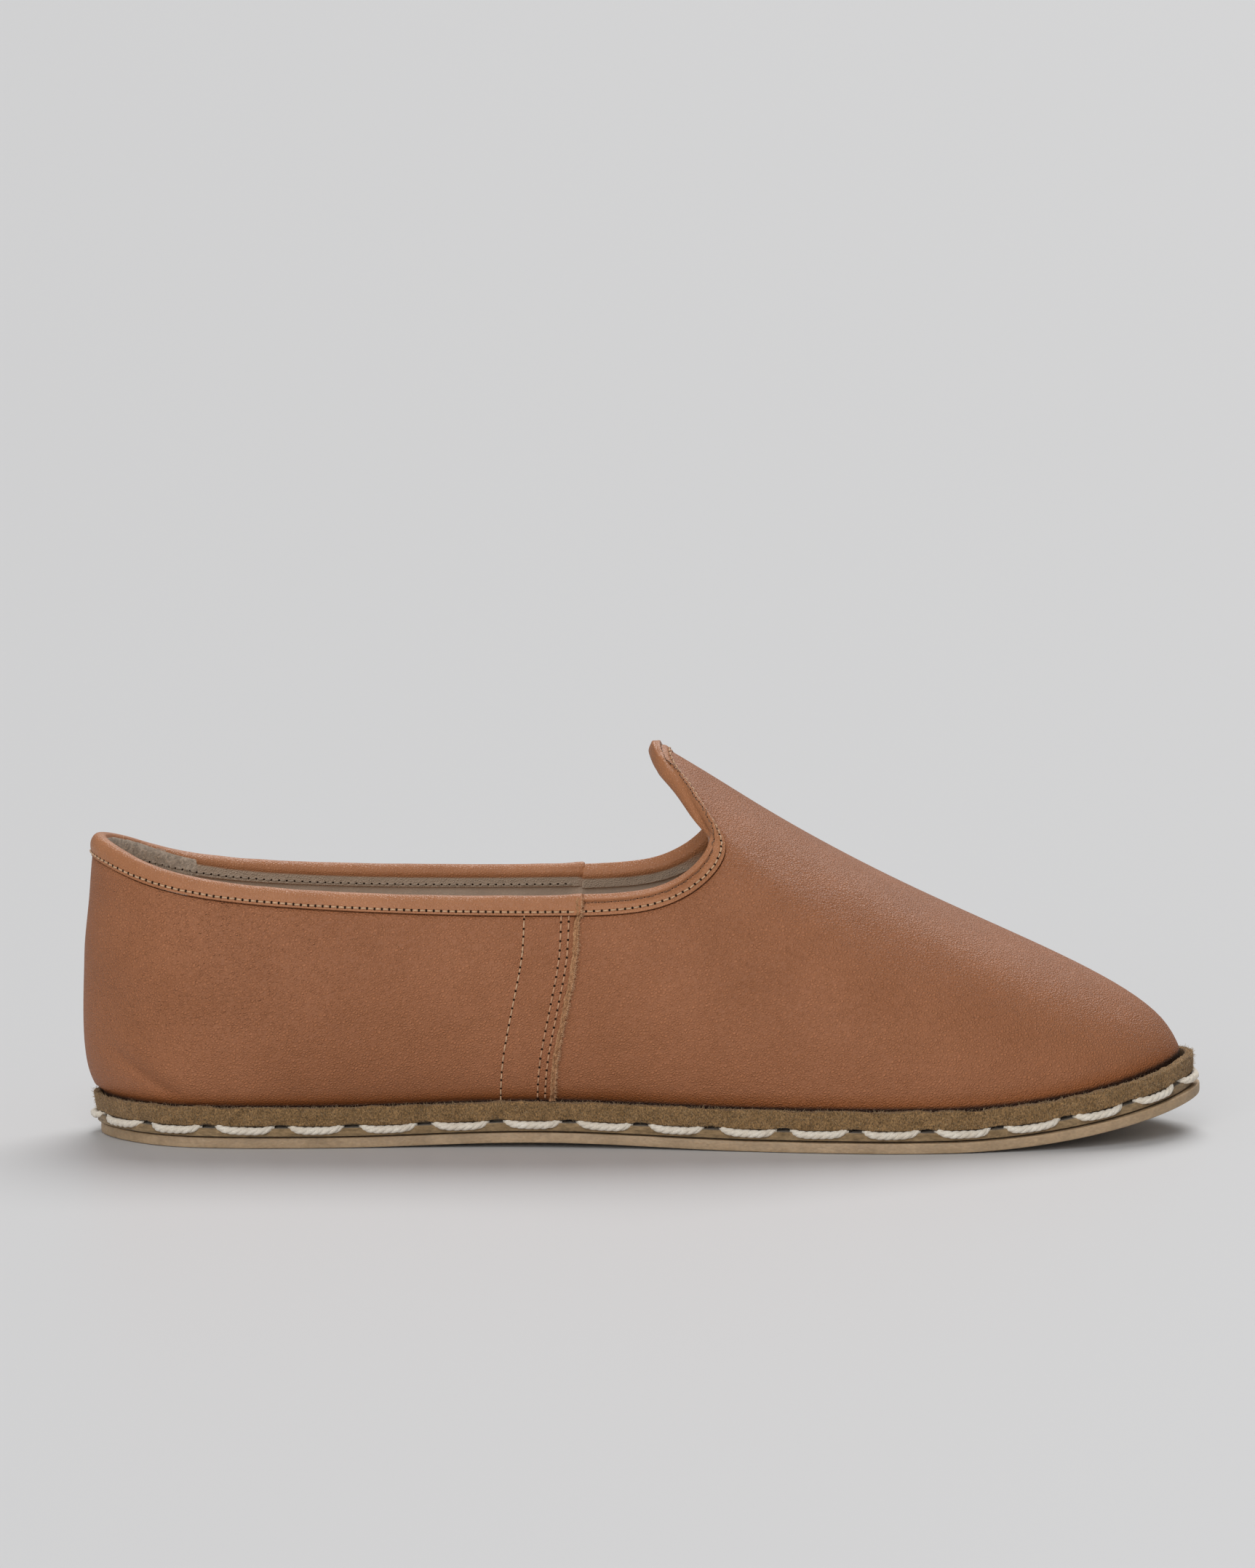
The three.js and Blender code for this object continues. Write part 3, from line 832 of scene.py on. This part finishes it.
seams += [
    {"skin": "collar_band", "line": "collarIn", "shift": 0.7, "towards": (0, 0, 1), "pitch": 2.0,
     "radius": 0.18, "hole": 0.30, "thread": "taupe", "side": -1},
    {"skin": "throat_binding", "line": "throatIn", "shift": 0.7, "towards": "opening", "pitch": 2.0,
     "radius": 0.17, "hole": 0.26, "thread": "brown"},
]
seamTrim = {"belowWeltTop": 1.5, "belowBand": 0.4}  # where the side rows end, in mm
stitchShape = {"points": 4, "sunk": 0.10, "endShare": 0.6, "holeDepth": 0.2, "holeLip": 0.55}
threadColours = {"pale": (0.60, 0.38, 0.22), "orange": (0.56, 0.30, 0.16), "brown": (0.20, 0.09, 0.04),
                 "taupe": (0.36, 0.28, 0.21)}
threadGrain = ({"kind": "soft", "size": 0.25, "depth": 0.08, "detail": 3.0, "stain": 0.2},)
# painted shade inside needle and nail holes
holeLook = {"cloudSize": 1.0, "dark": (0.012, 0.006, 0.003), "light": (0.03, 0.014, 0.007),
            "roughness": (0.9, 0.9), "grain": (), "shader": {"Specular IOR Level": 0.1}}


def pit(spot, normal, depth, radius, lipRadius):
    # A near-black plug that starts under the skin and just shows over it, painted shade where a hole is;
    # depth in mm
    return [(spot - normal * depth * mm, radius), (spot + normal * 0.02 * mm, radius),
            (spot + normal * 0.05 * mm, lipRadius)]


def machineSeams():
    threads, holes = {}, []
    collarTree = nearLine(resampled(lines["collarOut"], 1))
    points, sunk = stitchShape["points"], stitchShape["sunk"] * mm
    for seam in seams:
        line = smoothed(lines[seam["line"]], 1)
        rail = alongSkin(resampled(line, seam["pitch"] / points), skins[seam["skin"]], seam["shift"],
                         seam["towards"], seam.get("side", 1))
        if seam.get("trimEnds"):  # from the band's lower row down to the welt
            rail = [(spot, normal) for spot, normal in rail
                    if spot.z > weltTopAt(spot) - seamTrim["belowWeltTop"] * mm
                    and spot.z < collarTree.find(spot)[0].z - seamTrim["belowBand"] * mm]
        endRadius = seam["radius"] * stitchShape["endShare"]
        for i in range(0, len(rail) - 3, points):
            height = seam["radius"] * (0.75 + 0.3 * random.random())
            path = [(rail[i][0] - rail[i][1] * sunk, endRadius)]
            for k in (1, 2):
                spot, normal = rail[i + k]
                path.append((spot + normal * height * mm, seam["radius"]))
            end, endNormal = rail[i + 3]
            path.append((end - endNormal * sunk, endRadius))
            threads.setdefault(seam["thread"], []).append(path)
            spot, normal = rail[i][0].lerp(rail[max(0, i - 1)][0], 0.5), rail[i][1]
            holes.append(pit(spot, normal, stitchShape["holeDepth"], seam["hole"],
                             seam["hole"] * stitchShape["holeLip"]))
    for thread, paths in threads.items():
        colour = threadColours[thread]
        look = {"cloudSize": 1.5, "dark": tuple(0.8 * c for c in colour),
                "light": tuple(1.2 * c for c in colour), "roughness": (0.7, 0.7), "grain": threadGrain,
                "shader": {"Sheen Weight": 0.2}}
        threadPiece(thread + "SeamThread", paths, 1, [finishMaterial(thread + "Thread", look)])
    threadPiece("needleHoles", holes, 2, [finishMaterial("needleHoleShade", holeLook)])
    print("machine seams", {name: len(paths) for name, paths in threads.items()})


yarnShape = {"away": 0.38, "thick": 0.66}  # a strand's distance from the middle and its radius, as shares


def twistedYarn(route, radius, strands, turnLength, taper):
    # Each strand winds round the route, which is a list of (point, two directions across it)
    paths = []
    for strand in range(strands):
        path = []
        run = 0.0
        last = route[0][0]
        for i, (point, across, up) in enumerate(route):
            run += (point - last).length / mm
            last = point
            angle = 2 * math.pi * (strand / strands + run / turnLength)
            share = taper(i / (len(route) - 1))
            away = yarnShape["away"] * radius * share * mm
            path.append((point + away * (math.cos(angle) * across + math.sin(angle) * up),
                         yarnShape["thick"] * radius * share))
        paths.append(path)
    return paths


yarnLook = {
    "cloudSize": 2.5, "dark": (0.72, 0.63, 0.51), "light": (0.88, 0.81, 0.70), "roughness": (0.8, 0.9),
    "grain": (
        {"kind": "soft", "size": 0.35, "depth": 0.18, "detail": 4.0, "rough": 0.7, "stain": 0.18},
    ),
    "shader": {"Sheen Weight": 0.3, "Specular IOR Level": 0.25},
}


def onRing(ring, i):
    # The point at a place, in steps, round a closed line, and the direction of the line there
    spot = ring[int(i) % len(ring)].lerp(ring[(int(i) + 1) % len(ring)], i % 1)
    return spot, (ring[(int(i) + 3) % len(ring)] - ring[(int(i) - 3) % len(ring)]).normalized()


def outOf(spot, tangent):
    # The level direction across a line round the foot, away from the foot's middle
    out = Vector((-tangent.y, tangent.x, 0)).normalized()
    return out if out.dot(spot - Vector((min(max(spot.x, -0.1), 0.1), 0, spot.z))) >= 0 else -out


def handStitches(materials):
    rail, places = handStitchPlaces()
    slim, swelling = handStitch["slim"]
    steps, sunk = handStitch["steps"], handStitch["sunk"]
    paths = []
    for place in places:
        lean = random.uniform(*handStitch["lean"])
        length = handStitch["length"] * random.uniform(*handStitch["lengthSpread"])
        route = []
        for k in range(steps + 1):
            u = 2 * k / steps - 1
            spot, tangent = onRing(rail, place + u * length)
            out = outOf(spot, tangent)
            bend = 1 - abs(u) ** 4
            outward = -sunk + (handStitch["bulge"] + sunk) * bend
            rise = -handStitch["drop"] * bend + handStitch["endRise"] * (1 - bend) + lean * u
            route.append((spot + (out * outward + Vector((0, 0, rise))) * mm, out, Vector((0, 0, 1))))
        paths += twistedYarn(route, handStitch["radius"], handStitch["strands"], handStitch["turnLength"],
                             lambda share: slim + swelling * math.sin(math.pi * share) ** 0.5)
    threadPiece("handStitches", paths, 2, materials)
    print("hand stitches", len(places))


# The inner row of hand stitches and the nail holes of lasting, on the insole
insoleRow = {
    "inset": 9.5, "pitch": 11.2, "length": 8.6, "radius": 0.72, "strands": 3, "turnLength": 4.2,
    "sunk": 0.7, "arch": 1.15, "steps": 14, "slim": (0.8, 0.2),
    "nailDepth": 0.4, "nailRadius": 0.55, "nailLip": 0.3,
    "nailHoles": (  # in mm from the heel and across
        (61.9, 17.8), (83.1, 18.3), (102.6, 19.0), (114.2, 22.2), (143.1, 25.3), (24.2, -3.9), (24.4, -14.4),
        (60.2, -23.5), (88.5, -20.0), (111.4, -18.9), (139.9, -1.1), (154.7, -23.3)),
}


def insoleStitches(materials, holeMaterials):
    skin = skins["insole"]
    up = Vector((0, 0, 1))
    ring = []
    rail = smoothed(resampled(lines["weltFoot"], 4), 4)
    for i, spot in enumerate(rail[:-1]):
        tangent = (rail[(i + 1) % (len(rail) - 1)] - rail[i - 1 if i else -2]).normalized()
        ring.append(spot - outOf(spot, tangent) * insoleRow["inset"] * mm)
    ring = resampled(smoothed(ring + [ring[0]], 3), railStep)
    count = round(len(ring) * railStep / insoleRow["pitch"])
    slim, swelling = insoleRow["slim"]
    steps = insoleRow["steps"]
    paths, holes = [], []
    for k in range(count):
        route = []
        for j in range(steps + 1):
            u = 2 * j / steps - 1
            spot, tangent = onRing(ring, len(ring) * k / count + u * insoleRow["length"])
            hit = skin.ray_cast(spot + Vector((0, 0, 0.02)), -up)[0] or spot
            lift = -insoleRow["sunk"] + insoleRow["arch"] * (1 - abs(u) ** 3)
            route.append((hit + Vector((0, 0, lift * mm)), Vector((-tangent.y, tangent.x, 0)), up))
        paths += twistedYarn(route, insoleRow["radius"], insoleRow["strands"], insoleRow["turnLength"],
                             lambda share: slim + swelling * math.sin(math.pi * share))
    for x, y in insoleRow["nailHoles"]:
        hit = skin.ray_cast(fromHeel(x, y, 30), -up)[0]
        holes.append(pit(hit, up, insoleRow["nailDepth"], insoleRow["nailRadius"], insoleRow["nailLip"]))
    threadPiece("insoleStitches", paths, 1, materials)
    threadPiece("nailHoles", holes, 3, holeMaterials)
    print("insole stitches", count)


# Raw cut edges and loose fibres
fibres = {"weltTop": 3000, "weltSide": 6000, "seam": 420, "patch": 2600,  # how many
          "weltRadius": 0.045, "seamRadius": 0.055, "patchRadius": 0.07, "bend": 0.45, "thinning": 0.35}
rawEdge = {"cords": 4, "top": 57.6, "bandFrom": 57.4, "bandStep": 0.5, "bandPoints": 14, "bandAhead": 0.6,
           "jitter": 0.14, "ahead": (0.25, 0.36), "under": (0.12, 0.14), "radius": (0.24, 0.42)}
rawEdgeLook = {
    "cloudSize": 1.0, "dark": (0.40, 0.185, 0.085), "light": (0.68, 0.37, 0.19), "roughness": (0.9, 0.95),
    "grain": ({"kind": "soft", "size": 0.45, "depth": 0.4, "detail": 4.0, "rough": 0.7, "stain": 0.5},),
    "shader": {"Specular IOR Level": 0.2},
}
seamFibreLook = {"cloudSize": 2.0, "dark": (0.50, 0.27, 0.14), "light": (0.72, 0.45, 0.27),
                 "roughness": (0.8, 0.8), "grain": (), "shader": {"Specular IOR Level": 0.2}}
fibreLook = {"cloudSize": 2.0, "dark": (0.26, 0.17, 0.08), "light": (0.52, 0.37, 0.20),
             "roughness": (0.8, 0.8), "grain": (), "shader": {"Sheen Weight": 0.2}}
paleFibreLook = {"cloudSize": 2.0, "dark": (0.50, 0.36, 0.25), "light": (0.70, 0.56, 0.43),
                 "roughness": (0.8, 0.8), "grain": (), "shader": {"Sheen Weight": 0.2}}


def anyWay(lowest=-1):
    return Vector((random.uniform(-1, 1), random.uniform(-1, 1), random.uniform(lowest, 1)))


def hair(root, way, length, radius):
    # One loose fibre in two bent pieces
    bend = anyWay() * fibres["bend"]
    path = [(root, radius)]
    for k in (1, 2):
        way = (way + bend).normalized()
        path.append((path[-1][0] + way * length * 0.5 * mm, radius * (1 - fibres["thinning"] * k)))
    return path


def rawEdges():
    # The quarter's cut edge stands over the vamp, and runs on over the end of the band
    cords, hairs = [], []
    for key in ("seamInner", "seamOuter"):
        line = [p for p in resampled(smoothed(lines[key], 1), 0.5)
                if weltTopAt(p) < p.z < rawEdge["top"] * mm]
        edge = [skins["upper"].find_nearest(p)[:2] for p in line]
        bandEnd = []
        for k in range(rawEdge["bandPoints"]):
            height = rawEdge["bandFrom"] + rawEdge["bandStep"] * k
            top = Vector((line[0].x + rawEdge["bandAhead"] * mm, line[0].y, height * mm))
            bandEnd.append(skins["collar_band"].find_nearest(top)[:2])
        edge = list(reversed(bandEnd)) + edge
        for layer in range(rawEdge["cords"]):
            ahead = rawEdge["ahead"][0] + rawEdge["ahead"][1] * layer
            under = rawEdge["under"][0] + rawEdge["under"][1] * layer
            path = []
            for spot, normal in edge:
                jitter = anyWay() * rawEdge["jitter"] * mm
                path.append((spot + Vector((ahead, 0, 0)) * mm - normal * under * mm + jitter,
                             random.uniform(*rawEdge["radius"])))
            cords.append(path)
        for _ in range(fibres["seam"]):
            spot, normal = random.choice(edge)
            way = Vector((1, 0, random.uniform(-0.6, 0.6))) + normal * random.uniform(-0.2, 0.5)
            hairs.append(hair(spot + Vector((1.0 * mm, 0, 0)), way.normalized(), random.uniform(0.5, 1.2),
                              fibres["seamRadius"]))
    threadPiece("rawSeamEdge", cords, 1, [finishMaterial("rawEdge", rawEdgeLook)])
    threadPiece("seamFibres", hairs, 0, [finishMaterial("seamFibre", seamFibreLook)])


def looseFibres():
    hairs = []
    top = resampled(lines["weltTop"], 0.5)
    for _ in range(fibres["weltTop"]):
        spot = random.choice(top)
        inward = Vector((-spot.x * 0.4, -spot.y, 0)).normalized()
        root = spot + (inward * random.uniform(0.0, 1.6) + Vector((0, 0, random.uniform(-0.5, 0.1)))) * mm
        way = Vector((random.uniform(-0.8, 0.8), random.uniform(-0.8, 0.8), random.uniform(0.2, 1.0)))
        way -= 0.3 * inward
        hairs.append(hair(root, way.normalized(), random.uniform(0.4, 1.0), fibres["weltRadius"]))
    foot = resampled(lines["weltFoot"], 0.5)
    for _ in range(fibres["weltSide"]):
        spot = random.choice(foot) + Vector((0, 0, random.uniform(0.4, 5.0))) * mm
        hit, normal, _, _ = skins["welt"].find_nearest(spot)
        way = normal * 0.5 + anyWay()
        hairs.append(hair(hit, way.normalized(), random.uniform(0.4, 0.9), fibres["weltRadius"]))
    threadPiece("weltFibres", hairs, 0, [finishMaterial("weltFibre", fibreLook)])
    hairs = []
    inside = [v for v in lines["collarIn"] if v.x < heelX + (upper["patchEnd"] + 6) * mm]
    rows = resampled(inside, 0.4)
    for _ in range(fibres["patch"]):
        spot = random.choice(rows) + Vector((0, 0, random.uniform(-3.5, 3.6))) * mm
        skin = skins["collar_band"] if random.random() < 0.5 else skins["upper"]
        hit, normal, _, _ = skin.find_nearest(spot)
        if outsideShare(hit, normal) > -0.3 or hit.x > heelX + upper["patchEnd"] * mm:
            continue
        way = normal + anyWay(-0.5) * 0.9
        hairs.append(hair(hit, way.normalized(), random.uniform(0.5, 1.2), fibres["patchRadius"]))
    threadPiece("heelPatchFibres", hairs, 0, [finishMaterial("patchFibre", paleFibreLook)])


placeCamera()
buildStudio()
print("camera and studio placed")
walkLines()
walkWelt()
weltTop = nearLine(resampled(lines["weltTop"], 1))
leather = finishMaterial("upperLeather", leatherLook)
lining = finishMaterial("liningLeather", liningLook)
patch = finishMaterial("heelPatchSuede", patchLook)
trimLeather = finishMaterial("trimLeather", trimLook)
buildUpper([leather, lining, patch])
buildTrim("collarBand", "collar_band", "collarOut", "collarIn", [trimLeather, patch])
buildTrim("throatBinding", "throat_binding", "throatOut", "throatIn", [trimLeather, patch])
print("upper and trims built")
buildWelt([finishMaterial("weltSuede", weltLook)])
buildPlate("midsole", [finishMaterial("midsoleLeather", midsoleLook)])
buildPlate("outsole", [finishMaterial("outsoleRubber", rubberLook)])
buildPlate("insole", [finishMaterial("insoleLeather", insoleLook)])
print("sole built")
machineSeams()
yarn = finishMaterial("cottonYarn", yarnLook)
handStitches([yarn])
insoleStitches([yarn], [bpy.data.materials["needleHoleShade"]])
rawEdges()
looseFibres()
print("threads and fibres set")
